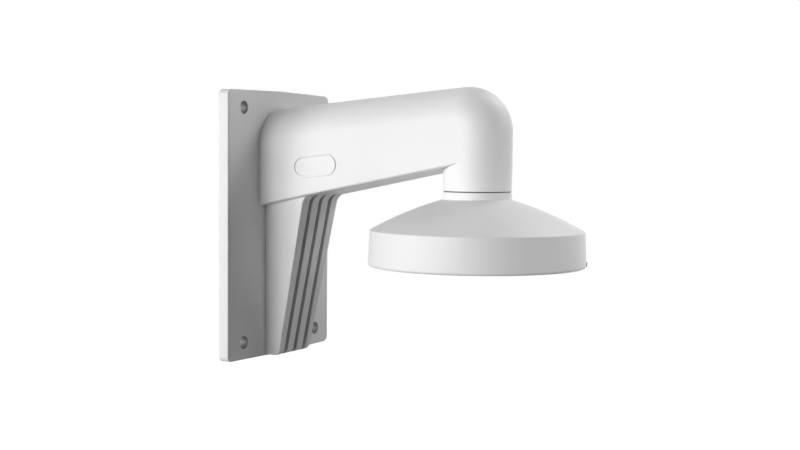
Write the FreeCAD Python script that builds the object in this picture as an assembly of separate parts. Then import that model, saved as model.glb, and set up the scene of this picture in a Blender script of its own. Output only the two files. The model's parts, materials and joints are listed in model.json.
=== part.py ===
import FreeCAD, Part
import math
import os

from FreeCAD import Vector

# Camera wall bracket. Millimetres, Z up, X across, the wall is the plane Y = 0 and the arm points to -Y.
# Side-view points are pairs (out, up): out is the distance from the front face of the plate, up is Z.

# Wall plate
plate_width = 120.0
plate_side_height = 182.0
plate_crown = 1.1            # rise of the top and bottom edges from the sides to the centre line
plate_thickness = 7.7
plate_corner_radius = 4.0
plate_edge_chamfer = 0.7
plate_web = 3.5              # metal between the front face and the pockets in the back
plate_rim = 4.0              # wall round the outside of the back
back_rib = 3.0
back_rib_count = 3           # ribs across the back, besides those through the holes
back_rib_pitch = 45.5

# Holes for the wall screws
hole_diameter = 8.7
hole_inset_x = 17.2          # hole centre from the side edge of the plate
hole_inset_z = 11.5          # hole centre from the end of the side edge
hole_boss_diameter = 16.0

# Hollow arm, an arch in section that narrows towards the neck
casting_wall = 3.0
arm_root_width = 51.5
arm_root_height = 66.6
arm_top_inset = 11.2         # crown of the arm at the plate, below the top of the side edge
arm_crown_slope = 0.085      # rise of the crown for each millimetre out
arm_floor_slope = 0.1965     # rise of the underside for each millimetre out
arm_floor_edge_radius = 1.5

# Neck that turns down at the end of the arm
neck_radius = 22.3
neck_end_radius = 22.1
neck_end_straight = 7.4      # height of the part with the end radius
neck_taper = 6.0             # height of the short cone above it
neck_out = 154.1             # neck axis from the front face of the plate
neck_length = 37.7           # from the axis of the bend down to the end face
bend_radius = 6.5            # of the middle line of the neck round the bend
neck_core_top_radius = 10.0  # the hollow of the neck ends in a blunt cone inside the bend
neck_core_top_rise = 18.0    # above the axis of the bend

# Leg under the arm
leg_depth_bottom = 11.6
leg_front_slope = 0.2035     # growth of the depth for each millimetre up
leg_root_width = 35.2        # at the plate and the bottom end
leg_width_growth = 0.0152    # growth of the whole width for each millimetre up
leg_flare = 0.1              # growth of each half width for each millimetre out
leg_bottom_radius = 5.0
leg_top_radius = 8.0
leg_edge_chamfer = 0.8
leg_web = 1.0                # metal left between the leg's hollow and the arm's floor
groove_count = 3
groove_pitch = 11.0          # at the foot of the leg
groove_width = 4.0
groove_depth = 4.0
groove_taper = 0.005         # lean of an outer groove away from the centre line, going up

# Raised outline of a long round on the left side of the arm
outline_length = 33.0
outline_height = 14.3
outline_line = 0.8
outline_raise = 0.35
outline_out = 44.8
outline_rise = 18.6          # centre above the underside of the arm
outline_tilt = 5.0

# Joint between the neck and the cap
gasket_thickness = 0.7
gasket_setback = 0.7         # from the outside of the neck
joint_screw_count = 3
joint_boss_diameter = 8.5
joint_boss_bite = 0.5        # how far the round of a boss reaches into the neck's wall
joint_boss_length = 14.0
joint_thread_depth = 10.0
cable_hole_radius = 10.5

# Camera cap
cap_wall = 2.5
collar_radius = 22.1
collar_height = 4.8
cap_disc_thickness = 5.0
cone_bulge = 1.4             # of the cone's line outside its chord
cone_bands = 3               # straight bands that follow the bulge
cone_height = 20.0
skirt_radius = 70.0
skirt_taper = 1.0            # the skirt is narrower at its top, outside only
skirt_height = 22.8
skirt_lip_radius = 2.0
lip_bands = 2
camera_boss_count = 3
camera_boss_circle_radius = 54.0
camera_boss_diameter = 9.0
camera_boss_end = 6.0        # end face below the top edge of the skirt
camera_thread_radius = 1.65
camera_thread_depth = 8.0
cap_rib_thickness = 2.5

# Cap screws, M4 with a hexagon socket head, and their spring washers
screw_radius = 2.0
screw_length = 14.0
screw_head_radius = 3.5
screw_head_height = 4.0
screw_socket_across = 3.0
screw_socket_depth = 2.0
screw_thread_clearance = 0.05
screw_hole_clearance = 0.3
washer_radius = 3.6
washer_thickness = 1.0
washer_bore_clearance = 0.15
washer_split = 0.8

# Set screw through the skirt, M3
set_screw_radius = 1.5
set_screw_length = 5.4
set_screw_socket_across = 1.5
set_screw_socket_depth = 1.5
set_screw_proud = 0.4
set_screw_rise = 2.4         # axis above the bottom of the skirt
set_screw_angle = 21.5       # round the cap from the front towards +X
set_screw_pad_radius = 2.1
set_screw_pad_depth = 2.0

overrun = 1.0                # how far a cutting shape goes past the face it opens
same_place = 0.01            # places nearer than this are the same

# Heights and places that follow from the sizes above
plate_half_height = plate_side_height / 2
arm_root_crown = plate_half_height - arm_top_inset
arm_root_floor = arm_root_crown - arm_root_height
leg_bottom = -plate_half_height
bend_out = neck_out - bend_radius
bend_reach = bend_radius + neck_radius
side_angle = math.atan((arm_root_width / 2 - neck_radius) / bend_out)
axis_angle = math.atan(arm_crown_slope) + side_angle
bend_up = (arm_root_crown + arm_crown_slope * (bend_out - bend_reach * math.sin(axis_angle))
           - bend_reach * math.cos(axis_angle))
neck_end = bend_up - neck_length
joint_screw_circle_radius = neck_end_radius - casting_wall + joint_boss_bite - joint_boss_diameter / 2
cap_top = neck_end - gasket_thickness
cone_top = cap_top - collar_height
cone_foot_radius = skirt_radius - skirt_taper
skirt_top = cone_top - cone_height
skirt_bottom = skirt_top - skirt_height
neck_y = -plate_thickness - neck_out


def place(out, up, x=0.0):
    return Vector(x, -plate_thickness - out, up)


def line(start, end):
    return Part.LineSegment(start, end).toShape()


def arc(start, middle, end):
    return Part.Arc(start, middle, end).toShape()


# A flat plate between two X places, from the corners of its side view.
def side_slab(corners, half_width):
    points = [place(out, up, -half_width) for out, up in corners]
    return Part.Face(Part.makePolygon(points + points[:1])).extrude(Vector(2 * half_width, 0, 0))


def joined(first, others):
    return first.fuse(others).removeSplitter()


def floor_height(out):
    return arm_root_floor + arm_floor_slope * out


# The plate: two long straight sides, with top and bottom edges that rise to the centre line.
def plate_outline(inset):
    half = plate_width / 2 - inset
    side = plate_half_height - inset
    peak = side + plate_crown
    corners = [(-half, -side), (0, -peak), (half, -side), (half, side), (0, peak), (-half, side)]
    points = [Vector(x, 0, z) for x, z in corners]
    return Part.Face(Part.makePolygon(points + points[:1]))


def upright_corner_edges(solid, half_width):
    found = []
    for edge in solid.Edges:
        along_y = edge.BoundBox.YLength > plate_thickness / 2
        at_side = abs(abs(edge.CenterOfMass.x) - half_width) < same_place
        if along_y and at_side:
            found.append(edge)
    return found


def plate_blank():
    blank = plate_outline(0).extrude(Vector(0, -plate_thickness, 0))
    blank = blank.makeFillet(plate_corner_radius, upright_corner_edges(blank, plate_width / 2))
    front = [e for e in blank.Edges if abs(e.BoundBox.YMax + plate_thickness) < same_place]
    return blank.makeChamfer(plate_edge_chamfer, front)


def hole_centres():
    x = plate_width / 2 - hole_inset_x
    z = plate_half_height - hole_inset_z
    return [(side * x, end * z) for side in (-1, 1) for end in (-1, 1)]


def wall_holes():
    length = plate_thickness + 2 * overrun
    rods = []
    for x, z in hole_centres():
        rods.append(Part.makeCylinder(hole_diameter / 2, length, Vector(x, overrun, z), Vector(0, -1, 0)))
    return rods


# Pockets in the back of the plate, between its rim, ribs, bosses and the walls of the arm and the leg.
def back_pockets(arm, leg):
    depth = plate_thickness - plate_web
    pockets = plate_outline(plate_rim).extrude(Vector(0, -depth, 0))
    kept = [arm, leg]
    for x, z in hole_centres():
        kept.append(Part.makeCylinder(hole_boss_diameter / 2, depth, Vector(x, 0, z), Vector(0, -1, 0)))
        kept.append(back_rib_bar(x, z, 0))
    for index in range(back_rib_count):
        kept.append(back_rib_bar(0, (index - (back_rib_count - 1) / 2) * back_rib_pitch, 0))
    kept.append(back_rib_bar(0, 0, 90))
    return pockets.cut(kept)


def back_rib_bar(x, z, turn):
    depth = plate_thickness - plate_web
    length = 2 * plate_side_height
    bar = Part.makeBox(length, depth, back_rib, Vector(-length / 2, -depth, -back_rib / 2))
    bar.rotate(Vector(0, 0, 0), Vector(0, 1, 0), turn)
    bar.translate(Vector(x, 0, z))
    return bar


# The arm before its floor and back are cut: the top is half a round cone, and the sides run straight down
# from it. It is made upright, with its end at the bend at Z = 0, and then laid along the arm's axis.
def arm_blank(inset, back_out):
    length = (bend_out - back_out) / math.cos(axis_angle) + neck_radius
    front_half = neck_radius - inset
    back_half = front_half + length * math.tan(side_angle)
    top = Part.makeCone(back_half, front_half, length, Vector(0, 0, -length), Vector(0, 0, 1), 180)
    ends = []
    for z, half in ((-length, back_half), (0, front_half)):
        corners = [(-half, 0), (half, 0), (half, -arm_root_height), (-half, -arm_root_height)]
        points = [Vector(x, y, z) for x, y in corners]
        ends.append(Part.makePolygon(points + points[:1]))
    blank = joined(top, [Part.makeLoft(ends, True, True)])
    blank.rotate(Vector(0, 0, 0), Vector(1, 0, 0), 90 - math.degrees(axis_angle))
    out = bend_out - bend_radius * math.sin(axis_angle)
    up = bend_up + bend_radius * math.cos(axis_angle)
    blank.translate(place(out, up))
    return blank


# The arm cut to its floor, with its long lower edges rounded. Its end section runs on as a cheek that fills
# the corner between the arm, the bend and the neck. They are smaller all round by inset.
def arm_beam(inset, back_out, edge_radius):
    lift = inset * math.hypot(1, arm_floor_slope)
    back_floor, front_floor = floor_height(back_out) + lift, floor_height(neck_out) + lift
    top = 2 * arm_root_crown
    side_view = [(back_out, back_floor), (neck_out, front_floor), (neck_out, top), (back_out, top)]
    arm = arm_blank(inset, back_out).common(side_slab(side_view, arm_root_width))
    if edge_radius > 0:
        arm = arm.makeFillet(edge_radius, floor_edges(arm))
    end_face = min(arm.Faces, key=lambda face: face.CenterOfMass.y)
    run_on = end_face.extrude(place(neck_out, front_floor) - place(0, floor_height(0) + lift))
    corner = [(0, -arm_root_height), (neck_out, -arm_root_height), (neck_out, bend_up), (0, bend_up)]
    return joined(arm, [run_on.common(side_slab(corner, arm_root_width))])


# The turn from the arm down to the neck: a round section swept about the axis of the bend.
def bend_form():
    low_left, low_right = Vector(-neck_radius, 0, 0), Vector(neck_radius, 0, 0)
    left, right = Vector(-neck_radius, 0, bend_radius), Vector(neck_radius, 0, bend_radius)
    section = Part.Wire([line(low_left, low_right), line(low_right, right),
                         arc(right, Vector(0, 0, bend_reach), left), line(left, low_left)])
    bend = Part.Face(section).revolve(Vector(0, 0, 0), Vector(1, 0, 0), 90 + math.degrees(axis_angle))
    bend.rotate(Vector(0, 0, 0), Vector(1, 0, 0), -math.degrees(axis_angle))
    bend.translate(place(bend_out, bend_up))
    return bend


# The outside of the arm, the bend and the neck as one solid form.
def arm_form(back_out, edge_radius):
    return joined(arm_beam(0, back_out, edge_radius), [bend_form(), neck_form()])


# The hollow is left by two straight cores: one drawn out of the back of the arm, one out of the neck's end.
def arm_hollow():
    core_radius = neck_end_radius - casting_wall
    start = neck_end - overrun
    neck_core = Part.makeCylinder(core_radius, bend_up - start, Vector(0, neck_y, start))
    tip = Part.makeCone(core_radius, neck_core_top_radius, neck_core_top_rise, Vector(0, neck_y, bend_up))
    return [arm_beam(casting_wall, -plate_thickness - overrun, 0), neck_core, tip]


# The neck is straight down from the bend, then narrows a little to its end.
def neck_form():
    taper_bottom = neck_end + neck_end_straight
    taper_top = taper_bottom + neck_taper
    upper = Part.makeCylinder(neck_radius, bend_up - taper_top, Vector(0, neck_y, taper_top))
    taper = Part.makeCone(neck_end_radius, neck_radius, neck_taper, Vector(0, neck_y, taper_bottom))
    lower = Part.makeCylinder(neck_end_radius, neck_end_straight, Vector(0, neck_y, neck_end))
    return joined(upper, [taper, lower])


# The long edge on each side of the arm's floor.
def floor_edges(beam):
    found = []
    for edge in beam.Edges:
        middle = edge.CenterOfMass
        out = -plate_thickness - middle.y
        lengthwise = edge.BoundBox.YLength > neck_radius
        on_floor = abs(middle.z - floor_height(out)) < same_place
        if lengthwise and on_floor:
            found.append(edge)
    return found


# Side view of the leg: a sloping front, rounded at the bottom, that flares into the floor of the arm.
def leg_front_out(up):
    return leg_depth_bottom + leg_front_slope * (up - leg_bottom)


def leg_profile_edges(back_out, cover):
    front = Vector(leg_front_slope, 1, 0).normalize()
    floor = Vector(1, arm_floor_slope, 0).normalize()
    low = Vector(leg_depth_bottom, leg_bottom, 0)
    high_up = ((arm_root_floor + arm_floor_slope * (leg_depth_bottom - leg_front_slope * leg_bottom))
               / (1 - arm_floor_slope * leg_front_slope))
    high = Vector(leg_front_out(high_up), high_up, 0)
    round_start, round_middle, round_end = corner_round(low, Vector(-1, 0, 0), front, leg_bottom_radius)
    flare_start, flare_middle, flare_end = corner_round(high, front * -1, floor, leg_top_radius)
    back_low = Vector(back_out, leg_bottom, 0)
    back_high = Vector(back_out, floor_height(back_out) + cover, 0)
    flare_top = flare_end + Vector(0, cover, 0)

    def at(point):
        return place(point.x, point.y)

    edges = [line(at(back_low), at(round_start)),
             arc(at(round_start), at(round_middle), at(round_end)),
             line(at(round_end), at(flare_start)),
             arc(at(flare_start), at(flare_middle), at(flare_end))]
    if cover > 0:
        edges.append(line(at(flare_end), at(flare_top)))
    edges.append(line(at(flare_top), at(back_high)))
    edges.append(line(at(back_high), at(back_low)))
    return edges


# Start, middle and end of the arc that rounds a corner between two directions leading away from it.
def corner_round(corner, first, second, radius):
    half = math.acos(first.dot(second)) / 2
    reach = radius / math.tan(half)
    middle_way = (first + second).normalize()
    centre = corner + middle_way * (radius / math.sin(half))
    return corner + first * reach, centre - middle_way * radius, corner + second * reach


# A wedge with flat flaring sides that bounds the leg across its width.
def leg_wedge(inset, back_out, front_out, bottom, top):
    wires = []
    for up in (bottom, top):
        half = leg_root_width / 2 + leg_width_growth / 2 * (up - leg_bottom) - inset
        back = half + leg_flare * back_out
        front = half + leg_flare * front_out
        corners = [(back_out, -back), (back_out, back), (front_out, front), (front_out, -front)]
        points = [place(out, up, x) for out, x in corners]
        wires.append(Part.makePolygon(points + points[:1]))
    return Part.makeLoft(wires, True, True)


def leg_form(back_out):
    cover = casting_wall / 2
    wide = arm_root_width
    profile = Part.Face(Part.Wire(leg_profile_edges(back_out, cover)))
    profile.translate(Vector(-wide / 2, 0, 0))
    slab = profile.extrude(Vector(wide, 0, 0))
    wedge = leg_wedge(0, back_out, 2 * leg_front_out(arm_root_floor), leg_bottom - overrun, arm_root_crown)
    leg = slab.common(wedge)
    return leg.makeChamfer(leg_edge_chamfer, leg_front_edges(leg))


# The long upright edges at both sides of the leg's front, with the round at the bottom end.
def leg_front_edges(leg):
    found = []
    for edge in leg.Edges:
        middle = edge.CenterOfMass
        out = -plate_thickness - middle.y
        upright = edge.BoundBox.XLength < leg_root_width / 4 and edge.BoundBox.ZLength > leg_bottom_radius / 2
        ahead = out > leg_front_out(middle.z) - leg_bottom_radius
        below = middle.z < floor_height(out) - overrun
        if upright and ahead and below:
            found.append(edge)
    return found


def leg_hollow(back_out):
    front_wall = groove_depth + casting_wall
    bottom = leg_bottom + casting_wall
    top_out = leg_front_out(arm_root_floor) - front_wall
    corners = [(back_out, bottom), (leg_front_out(bottom) - front_wall, bottom),
               (top_out, floor_height(top_out) - leg_web), (back_out, floor_height(back_out) - leg_web)]
    slab = side_slab(corners, arm_root_width)
    wedge = leg_wedge(casting_wall, back_out, 2 * leg_front_out(arm_root_floor), leg_bottom, arm_root_crown)
    return slab.common(wedge)


# One groove follows the front of the leg and runs out in the flare. Its floor is the side view of the leg,
# moved back along the floor of the arm by the depth of the groove.
def groove_cutter(x, lean):
    reach = 2 * leg_front_out(arm_root_floor)
    low = leg_bottom - groove_depth
    corners = [(0, low), (reach, low), (reach, floor_height(reach)), (0, floor_height(0))]
    front = side_slab(corners, groove_width)
    along = Vector(0, 1, -arm_floor_slope).normalize()
    rear = Part.Face(Part.Wire(leg_profile_edges(-plate_thickness, 0)))
    rear.translate(along * groove_depth + Vector(-2 * groove_width, 0, 0))
    rear = rear.extrude(Vector(4 * groove_width, 0, 0))
    slot = Part.makeBox(groove_width, 2 * reach, 2 * plate_side_height,
                        Vector(-groove_width / 2, -2 * reach, -plate_side_height))
    slot.rotate(Vector(0, 0, leg_bottom), Vector(0, 1, 0), math.degrees(math.atan(lean)))
    cutter = front.cut(rear).common(slot)
    cutter.translate(Vector(x, 0, 0))
    return cutter


def leg_grooves():
    cutters = []
    for index in range(groove_count):
        from_centre = index - (groove_count - 1) / 2
        cutters.append(groove_cutter(from_centre * groove_pitch, from_centre * groove_taper))
    return cutters


# The raised outline lies on the left side of the arm, which leans in towards the neck.
def long_round_wire(length, height):
    straight = (length - height) / 2
    radius = height / 2
    low_left, low_right = Vector(0, straight, -radius), Vector(0, -straight, -radius)
    high_right, high_left = Vector(0, -straight, radius), Vector(0, straight, radius)
    right_tip, left_tip = Vector(0, -straight - radius, 0), Vector(0, straight + radius, 0)
    return Part.Wire([line(low_left, low_right), arc(low_right, right_tip, high_right),
                      line(high_right, high_left), arc(high_left, left_tip, low_left)])


def raised_outline():
    outer = Part.Face(long_round_wire(outline_length, outline_height))
    inner = Part.Face(long_round_wire(outline_length - 2 * outline_line, outline_height - 2 * outline_line))
    embedded = casting_wall / 2
    ring = outer.cut(inner).extrude(Vector(outline_raise + embedded, 0, 0))
    ring.rotate(Vector(0, 0, 0), Vector(1, 0, 0), -outline_tilt)
    ring.rotate(Vector(0, 0, 0), Vector(0, 0, 1), math.degrees(side_angle))
    half_width = arm_root_width / 2 - math.tan(side_angle) * outline_out
    ring.translate(place(outline_out, floor_height(outline_out) + outline_rise, -half_width - outline_raise))
    return ring


def joint_places():
    found = []
    for index in range(joint_screw_count):
        angle = math.radians(-90 + index * 360 / joint_screw_count)
        x = joint_screw_circle_radius * math.cos(angle)
        y = neck_y + joint_screw_circle_radius * math.sin(angle)
        found.append((x, y))
    return found


def bracket_casting():
    inside = plate_thickness / 2
    arm = arm_form(-inside, arm_floor_edge_radius)
    leg = leg_form(-inside)

    arm_to_back = arm_form(-plate_thickness, 0)
    leg_to_back = leg_form(-plate_thickness)
    plate = plate_blank().cut(back_pockets(arm_to_back, leg_to_back))
    body = joined(plate, [arm, leg, raised_outline()])
    body = body.cut(leg_grooves())
    body = body.cut(arm_hollow() + [leg_hollow(-plate_thickness - overrun)])

    bosses = joint_rods(joint_boss_diameter / 2, neck_end, joint_boss_length)
    middle_of_wall = neck_end_radius - casting_wall / 2
    neck = Part.makeCylinder(middle_of_wall, joint_boss_length, Vector(0, neck_y, neck_end))
    body = joined(body, [boss.common(neck) for boss in bosses])
    thread_radius = screw_radius + screw_thread_clearance
    threads = joint_rods(thread_radius, neck_end - overrun, joint_thread_depth + overrun)
    return body.cut(threads + wall_holes())


# Upright rods on the screw places of the joint.
def joint_rods(radius, bottom, length):
    return [Part.makeCylinder(radius, length, Vector(x, y, bottom)) for x, y in joint_places()]


def neck_gasket():
    radius = neck_end_radius - gasket_setback
    ring = Part.makeCylinder(radius, gasket_thickness, Vector(0, neck_y, cap_top))
    bore = Part.makeCylinder(cable_hole_radius, gasket_thickness, Vector(0, neck_y, cap_top))
    holes = joint_rods(screw_radius + screw_hole_clearance, cap_top, gasket_thickness)
    return ring.cut([bore] + holes)


# The cone's line bulges: an arc from the collar's foot to the skirt's top, over the middle of its chord.
def cone_circle():
    start = Vector(collar_radius, 0, cone_top)
    end = Vector(cone_foot_radius, 0, skirt_top)
    chord = end - start
    normal = Vector(-chord.z, 0, chord.x).normalize()
    radius = chord.Length ** 2 / (8 * cone_bulge) + cone_bulge / 2
    centre = (start + end) * 0.5 + normal * (cone_bulge - radius)
    return centre, radius


def on_cone(r, inset):
    centre, radius = cone_circle()
    return Vector(r, 0, centre.z + math.sqrt((radius - inset) ** 2 - (r - centre.x) ** 2))


# Points along the cone's line, evenly spaced in radius, for its straight bands.
def cone_points(from_r, to_r, inset, bands):
    return [on_cone(from_r + (to_r - from_r) * k / bands, inset) for k in range(bands + 1)]


# Points round the lip at the bottom of the skirt, from its outside to its end face.
def lip_points():
    points = []
    for k in range(lip_bands + 1):
        angle = math.pi / 2 * k / lip_bands
        across = skirt_radius - skirt_lip_radius * (1 - math.cos(angle))
        up = skirt_bottom + skirt_lip_radius * (1 - math.sin(angle))
        points.append(Vector(across, 0, up))
    return points


def turned(points):
    return Part.Face(Part.makePolygon(points + points[:1])).revolve(Vector(0, 0, 0), Vector(0, 0, 1), 360)


def cap_shell():
    inner_foot = cone_foot_radius - cap_wall
    pocket_radius = collar_radius - cap_wall
    pocket_top = cap_top - cap_disc_thickness
    points = [Vector(cable_hole_radius, 0, cap_top), Vector(collar_radius, 0, cap_top)]
    points += cone_points(collar_radius, cone_foot_radius, 0, cone_bands)
    points += lip_points()
    points += [Vector(inner_foot, 0, skirt_bottom)]
    points += cone_points(inner_foot, pocket_radius, cap_wall, 1)
    points += [Vector(pocket_radius, 0, pocket_top), Vector(cable_hole_radius, 0, pocket_top)]
    return turned(points)


# The space under the cone that bosses and ribs grow down from, a little inside the outer skin.
def cap_core():
    inset = cap_wall / 2
    crown, rim = cone_points(collar_radius - inset, cone_foot_radius - inset, inset, 1)
    low_rim = Vector(rim.x, 0, skirt_bottom)
    return turned([Vector(0, 0, skirt_bottom), low_rim, rim, crown, Vector(0, 0, crown.z)])


def camera_boss_angles():
    return [90 + index * 360 / camera_boss_count for index in range(camera_boss_count)]


def camera_bosses(core):
    end = skirt_top - camera_boss_end
    grown = []
    for angle in camera_boss_angles():
        boss = Part.makeCylinder(camera_boss_diameter / 2, cone_height + camera_boss_end,
                                 Vector(camera_boss_circle_radius, 0, end))
        rib_length = cone_foot_radius - camera_boss_circle_radius
        rib = Part.makeBox(rib_length, cap_rib_thickness, cone_height + camera_boss_end,
                           Vector(camera_boss_circle_radius, -cap_rib_thickness / 2, end))
        for piece in (boss, rib):
            piece.rotate(Vector(0, 0, 0), Vector(0, 0, 1), angle)
            grown.append(piece.common(core))
    return grown


def camera_threads():
    end = skirt_top - camera_boss_end
    threads = []
    for angle in camera_boss_angles():
        thread = Part.makeCylinder(camera_thread_radius, camera_thread_depth + overrun,
                                   Vector(camera_boss_circle_radius, 0, end - overrun))
        thread.rotate(Vector(0, 0, 0), Vector(0, 0, 1), angle)
        threads.append(thread)
    return threads


# Radius of the skirt at the height of the set screw.
def set_screw_skin():
    lower = set_screw_rise - skirt_lip_radius
    share = lower / (skirt_height - skirt_lip_radius)
    return skirt_radius + (cone_foot_radius - skirt_radius) * share


# A rod along the set screw's axis, from its outer end inwards.
def set_screw_rod(radius, length, start_inset):
    height = skirt_bottom + set_screw_rise
    start = Vector(0, -set_screw_skin() - set_screw_proud + start_inset, height)
    rod = Part.makeCylinder(radius, length, start, Vector(0, 1, 0))
    rod.rotate(Vector(0, 0, 0), Vector(0, 0, 1), set_screw_angle)
    return rod


def camera_cap():
    shell = cap_shell()
    core = cap_core()
    pad_start = set_screw_proud + cap_wall / 2
    pad = set_screw_rod(set_screw_pad_radius, cap_wall / 2 + set_screw_pad_depth, pad_start)
    body = joined(shell, camera_bosses(core) + [pad])
    body = body.cut(camera_threads() + [set_screw_rod(set_screw_radius, 2 * set_screw_length, -overrun)])
    body.translate(Vector(0, neck_y, 0))
    below_disc = cap_top - cap_disc_thickness - overrun
    holes = joint_rods(screw_radius + screw_hole_clearance, below_disc, cap_disc_thickness + 2 * overrun)
    return body.cut(holes)


def hexagon_prism(across, depth):
    radius = across / math.sqrt(3)
    points = [Vector(radius * math.cos(math.radians(60 * k)), radius * math.sin(math.radians(60 * k)), 0)
              for k in range(7)]
    return Part.Face(Part.makePolygon(points)).extrude(Vector(0, 0, depth))


# A cap screw points up, with its head under the spring washer on the cap's disc.
def cap_screw(x, y):
    seat = cap_top - cap_disc_thickness - washer_thickness
    shank = Part.makeCylinder(screw_radius, screw_length)
    head = Part.makeCylinder(screw_head_radius, screw_head_height, Vector(0, 0, -screw_head_height))
    socket = hexagon_prism(screw_socket_across, screw_socket_depth + overrun)
    socket.translate(Vector(0, 0, -screw_head_height - overrun))
    screw = joined(head, [shank]).cut(socket)
    screw.translate(Vector(x, y, seat))
    return screw


def spring_washer(x, y):
    seat = cap_top - cap_disc_thickness - washer_thickness
    outer = Part.makeCylinder(washer_radius, washer_thickness)
    bore = Part.makeCylinder(screw_radius + washer_bore_clearance, washer_thickness)
    split = Part.makeBox(2 * washer_radius, washer_split, washer_thickness, Vector(0, -washer_split / 2, 0))
    washer = outer.cut([bore, split])
    washer.rotate(Vector(0, 0, 0), Vector(0, 0, 1), math.degrees(math.atan2(y - neck_y, x)))
    washer.translate(Vector(x, y, seat))
    return washer


def set_screw():
    rod = set_screw_rod(set_screw_radius, set_screw_length, 0)
    socket = hexagon_prism(set_screw_socket_across, set_screw_socket_depth + overrun)
    socket.rotate(Vector(0, 0, 0), Vector(1, 0, 0), -90)
    socket.translate(Vector(0, -set_screw_skin() - set_screw_proud - overrun, skirt_bottom + set_screw_rise))
    socket.rotate(Vector(0, 0, 0), Vector(0, 0, 1), set_screw_angle)
    screw = rod.cut(socket)
    screw.translate(Vector(0, neck_y, 0))
    return screw


def main():
    os.makedirs("parts", exist_ok=True)
    nodes = {
        "bracket_casting": bracket_casting(),
        "camera_cap": camera_cap(),
        "neck_gasket": neck_gasket(),
        "set_screw": set_screw(),
    }
    for number, (x, y) in enumerate(joint_places(), start=1):
        nodes["cap_screw_%d" % number] = cap_screw(x, y)
        nodes["spring_washer_%d" % number] = spring_washer(x, y)
    for name, shape in nodes.items():
        shape.exportStep("parts/%s.step" % name)
        volume = shape.Volume / 1000
        print("%s: %d solid, %.2f cm3, valid %s" % (name, len(shape.Solids), volume, shape.isValid()))


main()
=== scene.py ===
# Wall bracket for a dome camera: a white powder coated die casting with a round cap under its neck.
import bmesh
import bpy
import json
import math
import numpy as np
from mathutils import Matrix, Vector


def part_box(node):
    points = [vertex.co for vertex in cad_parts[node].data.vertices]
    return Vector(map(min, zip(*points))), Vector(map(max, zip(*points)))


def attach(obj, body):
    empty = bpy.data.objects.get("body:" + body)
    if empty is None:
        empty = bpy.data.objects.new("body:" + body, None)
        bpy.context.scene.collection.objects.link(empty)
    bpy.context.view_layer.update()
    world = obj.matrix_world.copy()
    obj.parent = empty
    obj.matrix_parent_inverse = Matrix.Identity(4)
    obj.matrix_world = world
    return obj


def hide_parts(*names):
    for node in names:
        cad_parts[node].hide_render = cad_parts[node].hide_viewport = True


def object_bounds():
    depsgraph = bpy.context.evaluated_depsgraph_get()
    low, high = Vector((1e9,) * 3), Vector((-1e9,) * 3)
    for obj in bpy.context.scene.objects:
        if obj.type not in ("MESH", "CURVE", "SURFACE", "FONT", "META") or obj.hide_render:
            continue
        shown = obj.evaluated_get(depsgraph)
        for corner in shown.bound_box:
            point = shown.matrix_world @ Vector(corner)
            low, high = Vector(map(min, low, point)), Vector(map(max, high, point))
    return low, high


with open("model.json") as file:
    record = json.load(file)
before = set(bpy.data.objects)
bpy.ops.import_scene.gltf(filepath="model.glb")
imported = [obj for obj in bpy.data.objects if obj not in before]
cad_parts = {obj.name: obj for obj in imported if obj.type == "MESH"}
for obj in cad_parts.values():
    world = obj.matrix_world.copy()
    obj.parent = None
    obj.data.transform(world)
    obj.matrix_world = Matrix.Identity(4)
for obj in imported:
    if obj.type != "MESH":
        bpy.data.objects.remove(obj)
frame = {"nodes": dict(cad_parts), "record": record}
lowCad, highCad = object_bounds()
nodes = frame["nodes"]
slotOf = {subpart["node"]: subpart["material_slot"] for subpart in frame["record"]["subparts"]}
wallHoles = [mount for mount in frame["record"]["mounts"] if mount["name"] == "wall_holes"][0]["dims"]
print("frame loaded:", len(nodes), "nodes")


# Colours are written as sRGB hex and turned to linear here.
def hexToLinear(code):
    channels = [int(code[i:i + 2], 16) / 255 for i in (1, 3, 5)]
    linear = [c / 12.92 if c <= 0.04045 else ((c + 0.055) / 1.055) ** 2.4 for c in channels]
    return (*linear, 1.0)


pureWhite = hexToLinear("#FFFFFF")


# Adds a node of the given kind, sets its settings and inputs, and links the inputs that are sockets.
def addNode(tree, kind, inputs=None, **settings):
    node = tree.nodes.new(kind)
    for name, value in settings.items():
        setattr(node, name, value)
    for key, value in (inputs or {}).items():
        if isinstance(value, bpy.types.NodeSocket):
            tree.links.new(value, node.inputs[key])
        else:
            node.inputs[key].default_value = value
    return node


def newMaterial(name):
    material = bpy.data.materials.new(name)
    material.use_nodes = True
    tree = material.node_tree
    tree.nodes.clear()
    return material, tree


# A noise with grains so many mm wide.
def addNoise(tree, place, size, detail=2.0, roughness=0.5):
    noise = addNode(tree, "ShaderNodeTexNoise", {"Vector": place, "Scale": 1000 / size, "Detail": detail,
                                                 "Roughness": roughness})
    return noise.outputs["Fac"]


# Blends from one colour to another while a value goes from low to high.
def addBlend(tree, value, span, lowColour, highColour):
    ramp = addNode(tree, "ShaderNodeValToRGB", {"Fac": value})
    for element, position, colour in zip(ramp.color_ramp.elements, span, (lowColour, highColour)):
        element.position = position
        element.color = colour
    return ramp.outputs["Color"]


noiseMiddle = (0.3, 0.7)   # most of a noise's values lie between these


# Spreads the middle of a noise over a range of roughness.
def addSpread(tree, noise, span):
    spread = addNode(tree, "ShaderNodeMapRange", {"Value": noise, "From Min": noiseMiddle[0],
                                                  "From Max": noiseMiddle[1], "To Min": span[0],
                                                  "To Max": span[1]})
    return spread.outputs["Result"]


# Tints one colour with another. A Mix node's colour inputs are numbers 6 and 7, and its colour output is
# number 2.
def addTint(tree, share, colour, tint):
    mix = addNode(tree, "ShaderNodeMix", {0: share, 6: colour, 7: tint}, data_type="RGBA",
                  blend_type="MULTIPLY")
    return mix.outputs[2]


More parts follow.
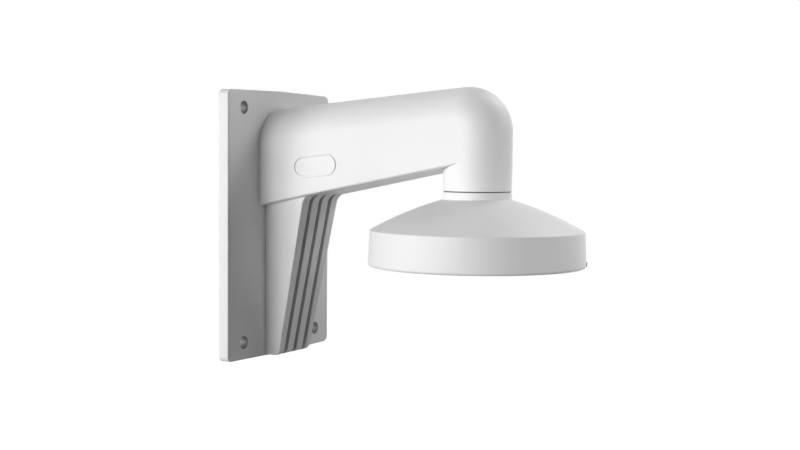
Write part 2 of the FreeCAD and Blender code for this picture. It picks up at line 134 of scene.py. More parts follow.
# Raises a surface by a noise, so many mm at most, over the normal of a finer bump where there is one.
def addBump(tree, noise, depth, finer=None):
    inputs = {"Height": noise, "Distance": depth / 1000, "Strength": 1.0}
    if finer:
        inputs["Normal"] = finer
    return addNode(tree, "ShaderNodeBump", inputs).outputs["Normal"]


def addSurface(tree, inputs):
    shader = addNode(tree, "ShaderNodeBsdfPrincipled", inputs)
    addNode(tree, "ShaderNodeOutputMaterial", {"Surface": shader.outputs["BSDF"]})


# 1 on a ray from the camera, off a glossy face or through glass, and 0 on all others.
def addSeen(tree):
    rays = addNode(tree, "ShaderNodeLightPath").outputs
    direct = addNode(tree, "ShaderNodeMath", {0: rays["Is Camera Ray"], 1: rays["Is Glossy Ray"]},
                     operation="MAXIMUM")
    seen = addNode(tree, "ShaderNodeMath", {0: direct.outputs[0], 1: rays["Is Transmission Ray"]},
                   operation="MAXIMUM")
    return seen.outputs[0]


# The photograph's camera, solved from the object's straight edges and round rims.
cameraLook = {
    "place": (-0.712175, -0.517560, 0.048029),   # m
    "turn": -59.895,                             # degrees, 0 looks along +Y
    "fall": 3.213,                               # degrees below the horizon
    "roll": 0.464,                               # degrees
    "lens": 55.762,                              # mm
    "sensor": 36.0,                              # mm
    "clip": (0.01, 50),                          # m
}


# The camera's three axes: back from the turn and the fall, then right and up turned by the roll.
def makeCamera(look):
    turn, fall, roll = (math.radians(look[k]) for k in ("turn", "fall", "roll"))
    back = Vector((math.sin(turn) * math.cos(fall), -math.cos(turn) * math.cos(fall), math.sin(fall)))
    level = Vector((math.cos(turn), math.sin(turn), 0))
    upright = back.cross(level)
    right = level * math.cos(roll) + upright * math.sin(roll)
    up = upright * math.cos(roll) - level * math.sin(roll)
    data = bpy.data.cameras.new("photoCamera")
    data.sensor_width = look["sensor"]
    data.lens = look["lens"]
    data.clip_start, data.clip_end = look["clip"]
    camera = bpy.data.objects.new("photoCamera", data)
    bpy.context.scene.collection.objects.link(camera)
    turnMatrix = Matrix((right, up, back)).transposed()
    camera.matrix_world = Matrix.Translation(Vector(look["place"])) @ turnMatrix.to_4x4()
    bpy.context.scene.camera = camera


makeCamera(cameraLook)
print("camera made")


# Polyester powder coat, sprayed and baked on die-cast aluminium: an even white with a soft sheen. Up close it
# has a fine pebbled skin, and a slow orange peel under that. Grooves, narrow recesses and the wall holes get
# painted shade: their colour is darkened greyer there. Lengths are in mm.
powderCoat = {
    "white": "#E9E9E9",
    "shade": "#E7E7E7",          # the second tone, only just darker
    "cloudSize": 28.0,           # of the slow change between the two tones
    "cloudSpan": (0.35, 0.65),   # noise values between which the tone changes
    "pebbleSize": 0.55,          # drawn a little coarser than real so that it shows
    "peelSize": 2.6,
    "pebbleHeight": 0.010,
    "peelHeight": 0.016,
    "bumpDetail": 1.0,           # of the noise of both bumps, plain and soft
    "bumpRoughness": 0.4,
    "roughness": (0.43, 0.52),
    "ior": 1.5,
    "sheen": 0.35,               # specular level: the fine pebbles take away the edge reflections
    "bore": "#AEAEAE",           # painted shade inside the wall holes
    "boreMargin": 0.05,          # how far that painted shade reaches past a hole's radius
    "paintedRecessShade": "#C8C8C8",           # painted shade at the bottom of a narrow recess
    "recessReach": 8.0,          # how far a recess is felt
    "recessOpen": (0.15, 0.62),  # share of open space where the painted shade is darkest, and where it ends
    "recessRays": 8,
}


# Painted shade: a grey that darkens narrow recesses by how enclosed they are, and a grey painted inside the
# wall holes; white elsewhere. The four wall holes lie at the same distances from the middle, so the place is
# folded into one quarter of the plate to find them.
def addPaintedShade(tree, place, coat):
    # Painted shade in recesses, from how much open space lies around each place.
    recess = addNode(tree, "ShaderNodeAmbientOcclusion", {"Distance": coat["recessReach"] / 1000},
                     only_local=True, samples=coat["recessRays"])
    recessShade = addBlend(tree, recess.outputs["AO"], coat["recessOpen"], hexToLinear(coat["paintedRecessShade"]), pureWhite)
    quarter = addNode(tree, "ShaderNodeVectorMath", {0: place}, operation="ABSOLUTE")
    flat = addNode(tree, "ShaderNodeVectorMath", {0: quarter.outputs["Vector"], 1: (1, 0, 1)},
                   operation="MULTIPLY")
    acrossHoles, upHoles = wallHoles["spacing_x_mm"] / 1000, wallHoles["spacing_y_mm"] / 1000
    away = addNode(tree, "ShaderNodeVectorMath", {0: flat.outputs["Vector"],
                                               1: (acrossHoles / 2, 0, upHoles / 2)},
                   operation="DISTANCE")
    holeEdge = (wallHoles["hole_r_mm"] + coat["boreMargin"]) / 1000
    # Mask of the wall holes, where a painted shade darkens the colour.
    inHole = addNode(tree, "ShaderNodeMath", {0: away.outputs["Value"], 1: holeEdge}, operation="LESS_THAN")
    return addTint(tree, inHole.outputs[0], recessShade, hexToLinear(coat["bore"]))


def powderCoatMaterial(name, coat):
    material, tree = newMaterial(name)
    place = addNode(tree, "ShaderNodeTexCoord").outputs["Object"]
    clouds = addNoise(tree, place, coat["cloudSize"])
    pebbles = addNoise(tree, place, coat["pebbleSize"], coat["bumpDetail"], coat["bumpRoughness"])
    peel = addNoise(tree, place, coat["peelSize"], coat["bumpDetail"], coat["bumpRoughness"])
    tone = addBlend(tree, clouds, coat["cloudSpan"], hexToLinear(coat["shade"]), hexToLinear(coat["white"]))
    fine = addBump(tree, pebbles, coat["pebbleHeight"])
    # The base colour carries painted shade: darker in recesses and inside the wall holes.
    addSurface(tree, {"Base Color": addTint(tree, 1.0, tone, addPaintedShade(tree, place, coat)),
                      "Roughness": addSpread(tree, pebbles, coat["roughness"]),
                      "Normal": addBump(tree, peel, coat["peelHeight"], fine),
                      "IOR": coat["ior"], "Specular IOR Level": coat["sheen"]})
    return material


# Moulded black nitrile rubber: matt, and greyed by a dusty bloom in patches. Lengths are in mm.
gasketRubber = {
    "black": "#4A4A4B",
    "bloom": "#5C5C5D",
    "patchSize": 3.0,
    "patchDetail": 3.0,
    "patchSpan": (0.4, 0.7),     # noise values between which the tone changes
    "roughness": (0.62, 0.78),
    "ior": 1.52,
}


def rubberMaterial(name, rubber):
    material, tree = newMaterial(name)
    place = addNode(tree, "ShaderNodeTexCoord").outputs["Object"]
    patches = addNoise(tree, place, rubber["patchSize"], rubber["patchDetail"])
    tone = addBlend(tree, patches, rubber["patchSpan"], hexToLinear(rubber["black"]),
                    hexToLinear(rubber["bloom"]))
    addSurface(tree, {"Base Color": tone, "Roughness": addSpread(tree, patches, rubber["roughness"]),
                      "IOR": rubber["ior"]})
    return material


# Zinc plated steel, black oxide steel and bare cast aluminium: metals with a fine mottled grain, whose
# brighter grains are the rougher ones. Grain sizes are in mm.
platedSteel = {"bright": "#B9B7B2", "dull": "#A09E9A", "grainSize": 0.35, "roughness": (0.26, 0.40)}
blackSteel = {"bright": "#2A2A2C", "dull": "#1C1C1E", "grainSize": 0.30, "roughness": (0.38, 0.55)}
bareAluminium = {"bright": "#C9CACC", "dull": "#AEB0B3", "grainSize": 0.25, "roughness": (0.24, 0.36)}


def metalMaterial(name, metal):
    material, tree = newMaterial(name)
    place = addNode(tree, "ShaderNodeTexCoord").outputs["Object"]
    grain = addNoise(tree, place, metal["grainSize"])
    tone = addBlend(tree, grain, noiseMiddle, hexToLinear(metal["dull"]), hexToLinear(metal["bright"]))
    addSurface(tree, {"Base Color": tone, "Metallic": 1.0,
                      "Roughness": addSpread(tree, grain, metal["roughness"])})
    return material


finishes = {
    "powder_coat": powderCoatMaterial("whitePowderCoat", powderCoat),
    "gasket_rubber": rubberMaterial("nitrileRubber", gasketRubber),
    "plated_steel": metalMaterial("platedSteel", platedSteel),
    "black_steel": metalMaterial("blackOxideSteel", blackSteel),
    "bare_aluminium": metalMaterial("bareTappedAluminium", bareAluminium),
}
print("finishes mixed:", len(finishes))


# A mesh from a grid of points in mm. Each row runs round and closes on itself. The columns do so too, or else
# the first and the last row end in a fan at a pole. Faces are turned outwards at the end.
def gridMesh(name, points, poles=False):
    rows, columns = points.shape[:2]
    corner = np.arange(rows * columns).reshape(rows, columns)
    low = corner[:-1] if poles else corner
    high = corner[1:] if poles else np.roll(corner, -1, axis=0)
    quads = np.stack([low, np.roll(low, -1, axis=1), np.roll(high, -1, axis=1), high], axis=-1).reshape(-1, 4)
    places, faces = points.reshape(-1, 3), quads.tolist()
    if poles:
        places = np.vstack([places, points[0].mean(axis=0), points[-1].mean(axis=0)])
        first, last = rows * columns, rows * columns + 1
        faces += [(a, first, b) for a, b in zip(np.roll(corner[0], -1), corner[0])]
        faces += [(a, last, b) for a, b in zip(corner[-1], np.roll(corner[-1], -1))]
    mesh = bpy.data.meshes.new(name)
    mesh.from_pydata((places / 1000).tolist(), [], faces)
    shell = bmesh.new()
    shell.from_mesh(mesh)
    bmesh.ops.recalc_face_normals(shell, faces=shell.faces)
    shell.to_mesh(mesh)
    shell.free()
    return mesh


sharpTurn = 40       # degrees: edges that turn more than this stay sharp, where a piece says nothing else


# Puts a mesh in the scene as a piece, at the origin. With no sharp angle its edges stay as they are.
def newPiece(name, mesh, slot, sharp, replaced=None):
    for face in mesh.polygons:
        face.use_smooth = True
    if sharp:
        mesh.set_sharp_from_angle(angle=math.radians(sharp))
    mesh.materials.clear()
    mesh.materials.append(finishes[slot])
    piece = bpy.data.objects.new(name, mesh)
    bpy.context.scene.collection.objects.link(piece)
    even = piece.modifiers.new("evenNormals", "WEIGHTED_NORMAL")
    even.keep_sharp = True
    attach(piece, "root")
    if replaced:
        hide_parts(replaced)
    print(name, len(mesh.polygons), "faces")


# A closed line of corners (across, up, radius). Each has its own round, which touches both of its sides.
def roundedLine(corners, steps=5):
    points = []
    count = len(corners)
    for index, (across, up, radius) in enumerate(corners):
        here = np.array((across, up))
        if radius == 0:
            points.append(here[None])
            continue
        before = np.array(corners[index - 1][:2]) - here
        after = np.array(corners[(index + 1) % count][:2]) - here
        before, after = before / np.linalg.norm(before), after / np.linalg.norm(after)
        half = math.acos(np.clip(before @ after, -1, 1)) / 2
        middle = (before + after) / np.linalg.norm(before + after)
        centre = here + middle * radius / math.sin(half)
        start = here + before * radius / math.tan(half) - centre
        end = here + after * radius / math.tan(half) - centre
        share = np.linspace(0, 1, steps + 1)[:, None]
        sweep = math.pi - 2 * half
        arc = (start * np.sin((1 - share) * sweep) + end * np.sin(share * sweep)) / math.sin(sweep)
        points.append(centre + arc)
    return np.vstack(points)


# A lathed form: each point (across, up) of the line goes round the axis.
def lathePoints(line, axis, steps):
    turn = np.linspace(0, 2 * np.pi, steps, endpoint=False)
    across, up = line[:, :1], line[:, 1:]
    return np.stack([axis[0] + across * np.cos(turn), axis[1] + across * np.sin(turn),
                     up + 0 * turn], axis=-1)


# Two directions that are square to the given one and to each other.
def squareTo(direction):
    side = np.cross(direction, (0, 0, 1) if abs(direction[2]) < 0.5 else (1, 0, 0))
    side = side / np.linalg.norm(side)
    return side, np.cross(direction, side)


# The casting keeps the form of its solid. Its loose triangles are joined at their corners and flat ones
# become one face, and the normals of large faces lead those of narrow ones beside them, so that chamfers look
# round. An edge stays crisp where it turns outwards by more than "sharp" degrees, or inwards by more than
# hollowTurn. The rubber ring and the spring washers also get a narrow round on their edges. Rounds are in mm.
softCopies = {
    "bracket_casting": {"round": 0, "sharp": 50},
    "neck_gasket": {"round": 0.12, "sharp": 40},
    "spring_washer_1": {"round": 0.1, "sharp": 40},
    "spring_washer_2": {"round": 0.1, "sharp": 40},
    "spring_washer_3": {"round": 0.1, "sharp": 40},
}
cornerReach = 1e-6   # m, corners nearer than this are one
sameFlat = 0.2       # degrees, faces that turn less become one
crispTurn = 60       # degrees, edges that turn more are rounded
hollowTurn = 20      # degrees, hollow edges that turn more stay crisp


def softCopy(name, look):
    shell = bmesh.new()
    shell.from_mesh(nodes[name].data)
    bmesh.ops.remove_doubles(shell, verts=shell.verts, dist=cornerReach)
    bmesh.ops.dissolve_limit(shell, angle_limit=math.radians(sameFlat), verts=shell.verts, edges=shell.edges)
    if look["round"]:
        crisp = [edge for edge in shell.edges if edge.calc_face_angle(0) > math.radians(crispTurn)]
        bmesh.ops.bevel(shell, geom=crisp, offset=look["round"] / 1000, offset_type="OFFSET", segments=2,
                        profile=0.5, affect="EDGES", clamp_overlap=True)
    for edge in shell.edges:
        turn = math.degrees(edge.calc_face_angle(0))
        edge.smooth = turn < (look["sharp"] if edge.is_convex else hollowTurn)
    mesh = bpy.data.meshes.new(name + "Skin")
    shell.to_mesh(mesh)
    shell.free()
    newPiece(name + "Skin", mesh, slotOf[name], None, name)


for name, look in softCopies.items():
    softCopy(name, look)


# The camera cap is lathed round the axis of the neck. Its cone bulges: an arc from the collar's foot to the
# top of the skirt. Inside are three bosses with ribs for the camera's screws, and a pad for the set screw.
# Lengths are in mm and angles in degrees. Heights are those of the frame, radii are from the neck's axis.
capShape = {
    "collar": 22.1, "coneTop": 20.25, "foot": 69.0, "footUp": 0.25,
    "bulge": 1.4,              # how far the arc stands over the middle of its chord
    "wall": 2.5, "disc": 5.0, "cableHole": 10.5, "lip": 2.0,
    "rimRound": 0.8, "collarRound": 0.4, "collarFillet": 0.6, "innerRound": 0.3, "innerFillet": 1.0,
    "coneSteps": 28, "turnSteps": 240, "sharp": 38,
    "bossCircle": 54.0, "bossRadius": 4.5, "bossEnd": -5.75, "bossAngles": (90, 210, 330), "bossSteps": 40,
    "ribHalf": 1.25,
    "ribBack": 0.06,           # how far a rib's end lies behind its boss's end
    "boreRadius": 2.02, "boreDepth": 8.0, "screwHole": 2.3, "boreSteps": 48,
    "cutOver": 1.0,            # how far a cutter reaches past what it cuts
    "padRadius": 2.1, "padEnd": 65.42, "padStart": 68.6,
    "setScrewHole": 1.5,
    "setScrewRise": 2.4,       # of its axis over the skirt's lower edge
    "setScrewCut": (8.0, 12.0),   # how far in from the skirt its cutter starts, and the cutter's length
}
capLow, capHigh = (np.array(corner) * 1000 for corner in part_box("camera_cap"))
capAxis = ((capLow + capHigh) / 2)[:2]
capRadius, capBottom, capTop = (capHigh - capLow)[0] / 2, capLow[2], capHigh[2]
screwPlaces = [(np.array(low) + np.array(high))[:2] / 2 * 1000 - capAxis
               for low, high in (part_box("cap_screw_%d" % number) for number in (1, 2, 3))]
setScrewLow, setScrewHigh = (np.array(corner) * 1000 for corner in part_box("set_screw"))
setScrewMiddle = (setScrewLow + setScrewHigh) / 2
setScrewOut = np.append(setScrewMiddle[:2] - capAxis, 0)
setScrewOut /= np.linalg.norm(setScrewOut)
upward = np.array((0, 0, 1.0))


# Height of the cone's arc at a radius, on its outside or inset by so much. The arc's centre lies on the
# middle line of its chord.
def coneUp(across, inset, shape):
    start = np.array((shape["collar"], shape["coneTop"]))
    end = np.array((shape["foot"], shape["footUp"]))
    chord = end - start
    length = np.linalg.norm(chord)
    radius = length ** 2 / (8 * shape["bulge"]) + shape["bulge"] / 2
    centre = (start + end) / 2 + np.array((-chord[1], chord[0])) / length * (shape["bulge"] - radius)
    return centre[1] + np.sqrt((radius - inset) ** 2 - (across - centre[0]) ** 2)


# The cap's section: over the collar, down the cone and the skirt, and back along the inside.
def capLine(shape):
    innerFoot, pocket = shape["foot"] - shape["wall"], shape["collar"] - shape["wall"]
    discUnder = capTop - shape["disc"]
    lipAcross = capRadius + shape["lip"] * (capRadius - shape["foot"]) / (shape["footUp"] - capBottom)
    across = np.linspace(shape["collar"], shape["foot"], shape["coneSteps"] + 1)[1:-1]
    return [
        (shape["cableHole"], capTop, shape["innerRound"]),
        (shape["collar"], capTop, shape["collarRound"]),
        (shape["collar"], shape["coneTop"], shape["collarFillet"]),
        *((a, coneUp(a, 0, shape), 0) for a in across),
        (shape["foot"], shape["footUp"], shape["rimRound"]),
        (lipAcross, capBottom, shape["lip"]),
        (innerFoot, capBottom, shape["innerRound"]),
        (innerFoot, coneUp(innerFoot, shape["wall"], shape), shape["innerFillet"]),
        (pocket, coneUp(pocket, shape["wall"], shape), shape["innerFillet"]),
        (pocket, discUnder, shape["innerRound"]),
        (shape["cableHole"], discUnder, shape["innerRound"]),
    ]


# A rod along a direction: two rings, whose ends gridMesh closes with poles.
def rodPoints(start, direction, length, radius, steps=32):
    side, other = squareTo(direction)
    turn = np.linspace(0, 2 * np.pi, steps, endpoint=False)[:, None]
    ring = radius * (np.cos(turn) * side + np.sin(turn) * other)
    return np.stack([start + ring, start + ring + direction * length])


# The middle of a boss's end.
def bossFoot(angle, shape):
    turn = math.radians(angle)
    outward = np.array((math.cos(turn), math.sin(turn)))
    return np.append(capAxis + shape["bossCircle"] * outward, shape["bossEnd"])


# A place on the set screw's axis, so far out from the neck's axis.
def setScrewStart(across, shape):
    return np.append(capAxis, capBottom + shape["setScrewRise"]) + setScrewOut * across


# Bosses and ribs, whose far ends reach up into the middle of the cone's wall. A rib's end lies a hair behind
# its boss's end, so that no two faces lie in one plane.
def capGrowth(shape):
    middle = shape["wall"] / 2
    grown = []
    for angle in shape["bossAngles"]:
        turn = math.radians(angle)
        boss = rodPoints(bossFoot(angle, shape), upward, 1.0, shape["bossRadius"], shape["bossSteps"])
        away = np.linalg.norm(boss[1, :, :2] - capAxis, axis=1)
        boss[1, :, 2] = coneUp(away, middle, shape)
        grown.append(boss)
        out = np.array((math.cos(turn), math.sin(turn), 0))
        side = np.array((-math.sin(turn), math.cos(turn), 0))
        inner, outer = shape["bossCircle"], shape["foot"] - middle
        corners = np.array([(inner, -1), (outer, -1), (outer, 1), (inner, 1)])
        low = np.append(capAxis, shape["bossEnd"] + shape["ribBack"]) + corners[:, :1] * out
        low = low + corners[:, 1:] * shape["ribHalf"] * side
        high = low.copy()
        high[:, 2] = coneUp(corners[:, 0], middle, shape)
        grown.append(np.stack([low, high]))
    padLength = shape["padStart"] - shape["padEnd"]
    grown.append(rodPoints(setScrewStart(shape["padEnd"], shape), setScrewOut, padLength, shape["padRadius"]))
    return grown


def capBores(shape):
    over, steps = shape["cutOver"], shape["boreSteps"]
    bores = []
    for angle in shape["bossAngles"]:
        start = bossFoot(angle, shape) - over * upward
        bores.append(rodPoints(start, upward, shape["boreDepth"] + over, shape["boreRadius"], steps))
    for place in screwPlaces:
        start = np.append(capAxis + place, capTop - shape["disc"] - over)
        bores.append(rodPoints(start, upward, shape["disc"] + 2 * over, shape["screwHole"], steps))
    inside, length = shape["setScrewCut"]
    start = setScrewStart(capRadius - inside, shape)
    bores.append(rodPoints(start, setScrewOut, length, shape["setScrewHole"], steps))
    return bores


sliverReach = 2e-6   # m, edges shorter than this are slivers


# Adds or cuts a set of rods, all as one body, and clears the slivers away. Added rods may overlap each other.
def carve(mesh, rods, operation):
    tool = bmesh.new()
    for points in rods:
        tool.from_mesh(gridMesh("rod", points, poles=True))
    toolMesh = bpy.data.meshes.new("rods")
    tool.to_mesh(toolMesh)
    tool.free()
    body, cutter = bpy.data.objects.new("body", mesh), bpy.data.objects.new("rods", toolMesh)
    for part in (body, cutter):
        bpy.context.scene.collection.objects.link(part)
    step = body.modifiers.new(operation, "BOOLEAN")
    step.operation = operation
    step.solver = "EXACT"
    step.use_self = operation == "UNION"
    step.object = cutter
    done = bpy.data.meshes.new_from_object(body.evaluated_get(bpy.context.evaluated_depsgraph_get()))
    for part in (body, cutter):
        bpy.data.objects.remove(part)
    clean = bmesh.new()
    clean.from_mesh(done)
    bmesh.ops.remove_doubles(clean, verts=clean.verts, dist=sliverReach)
    bmesh.ops.dissolve_degenerate(clean, edges=clean.edges, dist=sliverReach)
    clean.to_mesh(done)
    clean.free()
    return done


def makeCap(shape):
    line = roundedLine(capLine(shape))
    mesh = gridMesh("capShell", lathePoints(line, capAxis, shape["turnSteps"]))
    mesh = carve(mesh, capGrowth(shape), "UNION")
    mesh = carve(mesh, capBores(shape), "DIFFERENCE")
    newPiece("cameraCapSkin", mesh, slotOf["camera_cap"], shape["sharp"], "camera_cap")


makeCap(capShape)


# A screw is one grid. Each ring is a circle, a thread's section or a hexagon. Heights count from the head's
# outer face. "head", "crest" and "core" are radii, "edge" is the round of the head's edge, "socket" is its
# width across the flats and "tip" is the chamfer at the far end. Lengths are in mm.
capScrew = {
    "head": 3.5, "headLength": 4.0, "length": 18.0, "crest": 2.0, "core": 1.65, "pitch": 0.7,
    "threadStart": 6.0, "socket": 3.0, "socketDepth": 2.0, "edge": 0.35, "tip": 0.5,
}
setScrew = {
    "head": 1.5, "headLength": 0, "length": 5.4, "crest": 1.5, "core": 1.25, "pitch": 0.5,
    "threadStart": 0.25, "socket": 1.5, "socketDepth": 1.5, "edge": 0.2, "tip": 0.4,
}
# What both kinds of screw share.
screwForm = {
    "drillDepth": 1.12,        # of the drill's point, as a share of the socket's depth
    "drillWidth": 0.4,         # of the drill's point, as a share of the socket's width
    "mouthDepth": 0.12,        # mm, from where the socket's mouth opens
    "mouthWidth": 1.06,        # of the mouth, as a share of the socket's width
    "edgeSteps": 4,
    "underRound": 0.1,         # mm, by which the head's lower edge is broken
    "shankStep": 0.05,         # mm, between the head and the shank's first ring
    "shankWider": 0.02,        # mm, added to the shank's radius at the head
    "steps": 60,
    "ringsPerTurn": 6,
}
# A thread's flanks have this slope over the pitch, and this much is cut off for its flat root.
flankSlope, rootFlat = 2.6, 0.15


# How far a thread stands out: 0 at its core and 1 at its crest. It is a helix, so this follows the height
# over the pitch less the turn.
def threadTooth(height, turn, pitch):
    phase = (height / pitch - turn / (2 * np.pi)) % 1
    return np.clip(flankSlope * np.abs(phase - 0.5) - rootFlat, 0, 1)


# The thread fades in from the plain shank over one pitch, and its crests are cut down at the screw's tip.
def threadRadius(height, turn, look):
    depth = (look["crest"] - look["core"]) * (1 - threadTooth(height, turn, look["pitch"]))
    fade = np.clip((height - look["threadStart"]) / look["pitch"], 0, 1)
    tipCut = np.clip(look["tip"] - (look["length"] - height), 0, None)
    return np.minimum(look["crest"] - fade * depth, look["crest"] - tipCut)


# A hexagon's radius is half its width over the cosine of the angle from the middle of the nearest flat.
def screwPoints(look, form, outer, inward):
    turn = np.linspace(0, 2 * np.pi, form["steps"], endpoint=False)
    circle = np.ones_like(turn)
    hexagon = look["socket"] / 2 / np.cos((turn + np.pi / 6) % (np.pi / 3) - np.pi / 6)
    rings = [
        (look["socketDepth"] * form["drillDepth"], form["drillWidth"] * hexagon),
        (look["socketDepth"], hexagon),
        (form["mouthDepth"], hexagon),
        (0, hexagon * form["mouthWidth"]),
    ]
    headLength = look["headLength"]
    if headLength:
        for share in np.linspace(0, 0.5 * np.pi, form["edgeSteps"])[::-1]:
            radius = look["head"] - look["edge"] * (1 - math.cos(share))
            rings.append((look["edge"] * (1 - math.sin(share)), circle * radius))
        rings.append((headLength - form["underRound"], circle * look["head"]))
        rings.append((headLength, circle * (look["head"] - form["underRound"])))
        rings.append((headLength, circle * (look["crest"] + form["shankWider"])))
        shankTop = headLength + form["shankStep"]
    else:
        rings.append((0, circle * (look["crest"] - look["edge"])))
        shankTop = look["edge"]
    count = int((look["length"] - shankTop) / look["pitch"] * form["ringsPerTurn"])
    for height in np.linspace(shankTop, look["length"], count):
        rings.append((height, threadRadius(height, turn, look)))
    heights = np.array([height for height, _ in rings])[:, None, None]
    radii = np.stack([radius for _, radius in rings])[..., None]
    side, other = squareTo(inward)
    spokes = np.cos(turn)[:, None] * side + np.sin(turn)[:, None] * other
    return outer + heights * inward + radii * spokes


for number, place in enumerate(screwPlaces, start=1):
    name = "cap_screw_%d" % number
    outer = np.append(capAxis + place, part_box(name)[0].z * 1000)
    mesh = gridMesh(name, screwPoints(capScrew, screwForm, outer, upward), poles=True)
    newPiece("capScrewSkin_%d" % number, mesh, slotOf[name], sharpTurn, name)
setScrewFace = setScrewMiddle + setScrewOut * setScrew["length"] / 2
mesh = gridMesh("setScrew", screwPoints(setScrew, screwForm, setScrewFace, -setScrewOut), poles=True)
newPiece("setScrewSkin", mesh, slotOf["set_screw"], sharpTurn, "set_screw")


# The threads tapped in the camera bosses: a bare tube whose inside swings between core and crest in a helix,
# and opens in a countersink at its mouth. Lengths are in mm.
tappedThread = {
    "core": 1.65, "crest": 1.98, "outer": 2.06, "pitch": 0.7, "mouth": 0.4, "ringsPerTurn": 6, "steps": 48,
    "shorter": 0.05,           # than its bore
}


def tappedPoints(look, foot, depth):
    turn = np.linspace(0, 2 * np.pi, look["steps"], endpoint=False)
    height = np.linspace(0, depth, int(depth / look["pitch"] * look["ringsPerTurn"]))[:, None]
    inner = look["core"] + (look["crest"] - look["core"]) * threadTooth(height, turn, look["pitch"])
    inner = np.maximum(inner, np.minimum(look["core"] + look["mouth"] - height, look["crest"]))
    radii = np.vstack([inner, np.full((2, look["steps"]), look["outer"])])
    heights = np.vstack([height, [[depth], [0]]])
    return np.stack([foot[0] + radii * np.cos(turn), foot[1] + radii * np.sin(turn),
                     foot[2] + heights + 0 * turn], axis=-1)


tappedDepth = capShape["boreDepth"] - tappedThread["shorter"]
for number, angle in enumerate(capShape["bossAngles"], start=1):
    mesh = gridMesh("tappedThread", tappedPoints(tappedThread, bossFoot(angle, capShape), tappedDepth))
    newPiece("tappedThread_%d" % number, mesh, "bare_aluminium", sharpTurn)


# The raised outline on the arm's left side: a low bead along a long round. Its section is a flat-topped
# mound, and it stands on the side's plane, which leans in towards the neck. Lengths are in mm and angles in
# degrees.
raisedOutline = {
    "out": 52.5, "aside": -24.70, "up": 40.60,     # its middle: from the wall, across and up
    "length": 32.2, "height": 13.5, "tilt": 5.0, "lean": 1.339,
    "width": 1.4, "raise": 0.7,
    "root": 0.3,                                   # how deep it sits in the arm's side
    "shoulder": (0.42, 0.75),                      # as shares of the width and of the raise
    "top": 0.3,                                    # half of the flat top, as a share of the width
    "straightSteps": 14, "roundSteps": 28,
}


# The bead's section: up one side from its root to its top, and down the other. Only half is written out.
def beadSection(look):
    shoulderAcross, shoulderUp = look["shoulder"]
    half = [(0.5, -look["root"]), (0.5, 0), (shoulderAcross, shoulderUp * look["raise"]),
            (look["top"], look["raise"])]
    return [(-across, up) for across, up in half] + half[::-1]


# The long round is walked once: a straight, a half circle, and both again turned by half a turn.
def outlinePoints(look):
    radius, half = look["height"] / 2, (look["length"] - look["height"]) / 2
    share = np.linspace(0, 1, look["straightSteps"], endpoint=False)
    turn = np.linspace(-np.pi / 2, np.pi / 2, look["roundSteps"], endpoint=False)
    along = np.concatenate([half * (2 * share - 1), half + radius * np.cos(turn)])
    rise = np.concatenate([np.full_like(share, -radius), radius * np.sin(turn)])
    along, rise = np.concatenate([along, -along]), np.concatenate([rise, -rise])
    outAlong = np.concatenate([0 * share, np.cos(turn), 0 * share, -np.cos(turn)])
    outRise = np.concatenate([0 * share - 1, np.sin(turn), 0 * share + 1, -np.sin(turn)])
    section = beadSection(look)
    across = np.array([a for a, _ in section])[None, :, None] * look["width"]
    proud = np.array([p for _, p in section])[None, :, None]
    tilt, lean = math.radians(look["tilt"]), math.radians(look["lean"])
    outward = np.array((-math.cos(lean), -math.sin(lean), 0))
    forward = np.array((math.sin(lean), -math.cos(lean), 0))
    length = forward * math.cos(tilt) + np.array((0, 0, math.sin(tilt)))
    breadth = np.array((0, 0, math.cos(tilt))) - forward * math.sin(tilt)
    centre = np.array((look["aside"], -look["out"], look["up"]))
    path = along[:, None] * length + rise[:, None] * breadth
    sideways = outAlong[:, None] * length + outRise[:, None] * breadth
    return centre + path[:, None] + across * sideways[:, None] + proud * outward


mesh = gridMesh("raisedOutline", outlinePoints(raisedOutline))
newPiece("raisedOutline", mesh, slotOf["bracket_casting"], sharpTurn)

# The solids themselves wear the same finishes as the pieces that stand in for them.
for node in nodes.values():
    node.data.materials.clear()
    node.data.materials.append(finishes[slotOf[node.name]])


# The stage: a pale floor well below the bracket, which hangs as it would on a wall. Lengths are in m.
stageLook = {"floorDrop": 0.60, "floorSize": 12.0, "paint": "#E6E6E6", "whiteLift": 1.0}


# The floor glows white only where it is seen, so its paint alone throws light back on the bracket.
def makeFloor(look):
    half = look["floorSize"] / 2
    height = lowCad.z - look["floorDrop"]
    mesh = bpy.data.meshes.new("studioFloor")
    corners = [(-half, -half, height), (half, -half, height), (half, half, height), (-half, half, height)]
    mesh.from_pydata(corners, [], [(0, 1, 2, 3)])
    floor = bpy.data.objects.new("studioFloor", mesh)
    bpy.context.scene.collection.objects.link(floor)
    material, tree = newMaterial("paleStudioPaint")
    paint = addNode(tree, "ShaderNodeBsdfDiffuse", {"Color": hexToLinear(look["paint"])})
    lift = addNode(tree, "ShaderNodeMath", {0: addSeen(tree), 1: look["whiteLift"]}, operation="MULTIPLY")
    glow = addNode(tree, "ShaderNodeEmission", {"Color": pureWhite, "Strength": lift.outputs[0]})
    both = addNode(tree, "ShaderNodeAddShader", {0: paint.outputs[0], 1: glow.outputs[0]})
    addNode(tree, "ShaderNodeOutputMaterial", {"Surface": both.outputs[0]})
    mesh.materials.append(material)


makeFloor(stageLook)

# The world is white where it is seen. As a light it has only the ambient strength, here none.
worldLook = {"ambient": 0.0, "white": 1.0}


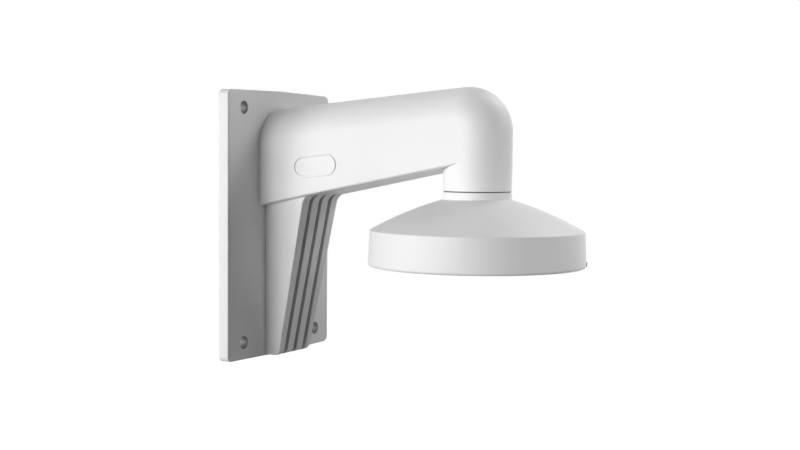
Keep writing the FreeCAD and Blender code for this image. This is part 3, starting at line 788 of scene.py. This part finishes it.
def makeWorld(look):
    world = bpy.data.worlds.new("studioWorld")
    bpy.context.scene.world = world
    world.use_nodes = True
    tree = world.node_tree
    tree.nodes.clear()
    light = addNode(tree, "ShaderNodeBackground", {"Color": pureWhite, "Strength": look["ambient"]})
    white = addNode(tree, "ShaderNodeBackground", {"Color": pureWhite, "Strength": look["white"]})
    mixed = addNode(tree, "ShaderNodeMixShader", {0: addSeen(tree), 1: light.outputs[0], 2: white.outputs[0]})
    addNode(tree, "ShaderNodeOutputWorld", {"Surface": mixed.outputs[0]})


makeWorld(worldLook)

# Two wide lamps far off on the left, behind the wall's plane, light the arm's side and graze the rest.
# Bearing 0 is in front of the plate and -90 on its left. Angles are in degrees.
farLamps = {
    "keyLamp": {"bearing": -130, "height": 5, "spread": 30, "power": 1.76},
    "sideLamp": {"bearing": -100, "height": 5, "spread": 30, "power": 1.87},
}
# Three soft boxes close by light the cap, the neck and the plate's front. Each is aimed at the cap. Lengths
# are in m.
softBoxes = {
    "topBox": {"place": (0.30, -0.30, 0.40), "size": 0.30, "power": 1.24},
    "frontBox": {"place": (0.12, -0.42, 0.12), "size": 0.15, "power": 0.255},
    "lowBox": {"place": (0.00, -0.45, -0.05), "size": 0.15, "power": 0.11},
}


# A lamp shines along its own -Z, so its Z is turned outward.
def addLamp(name, data, outward, place=(0, 0, 0)):
    lamp = bpy.data.objects.new(name, data)
    lamp.location = place
    lamp.rotation_mode = "QUATERNION"
    lamp.rotation_quaternion = outward.to_track_quat("Z", "Y")
    lamp.visible_camera = False
    bpy.context.scene.collection.objects.link(lamp)


def makeFarLamp(name, lamp):
    bearing, height = math.radians(lamp["bearing"]), math.radians(lamp["height"])
    data = bpy.data.lights.new(name, "SUN")
    data.angle = math.radians(lamp["spread"])
    data.energy = lamp["power"]
    level = math.cos(height)
    addLamp(name, data, Vector((math.sin(bearing) * level, -math.cos(bearing) * level, math.sin(height))))


def makeSoftBox(name, box, target):
    data = bpy.data.lights.new(name, "AREA")
    data.shape = "DISK"
    data.size = box["size"]
    data.energy = box["power"]
    addLamp(name, data, Vector(box["place"]) - target, box["place"])


capCentre = Vector((*capAxis / 1000, 0))
for lampName, lamp in farLamps.items():
    makeFarLamp(lampName, lamp)
for boxName, box in softBoxes.items():
    makeSoftBox(boxName, box, capCentre)
bpy.context.scene.view_settings.view_transform = "Standard"
print("stage lit by", len(farLamps) + len(softBoxes), "lamps")
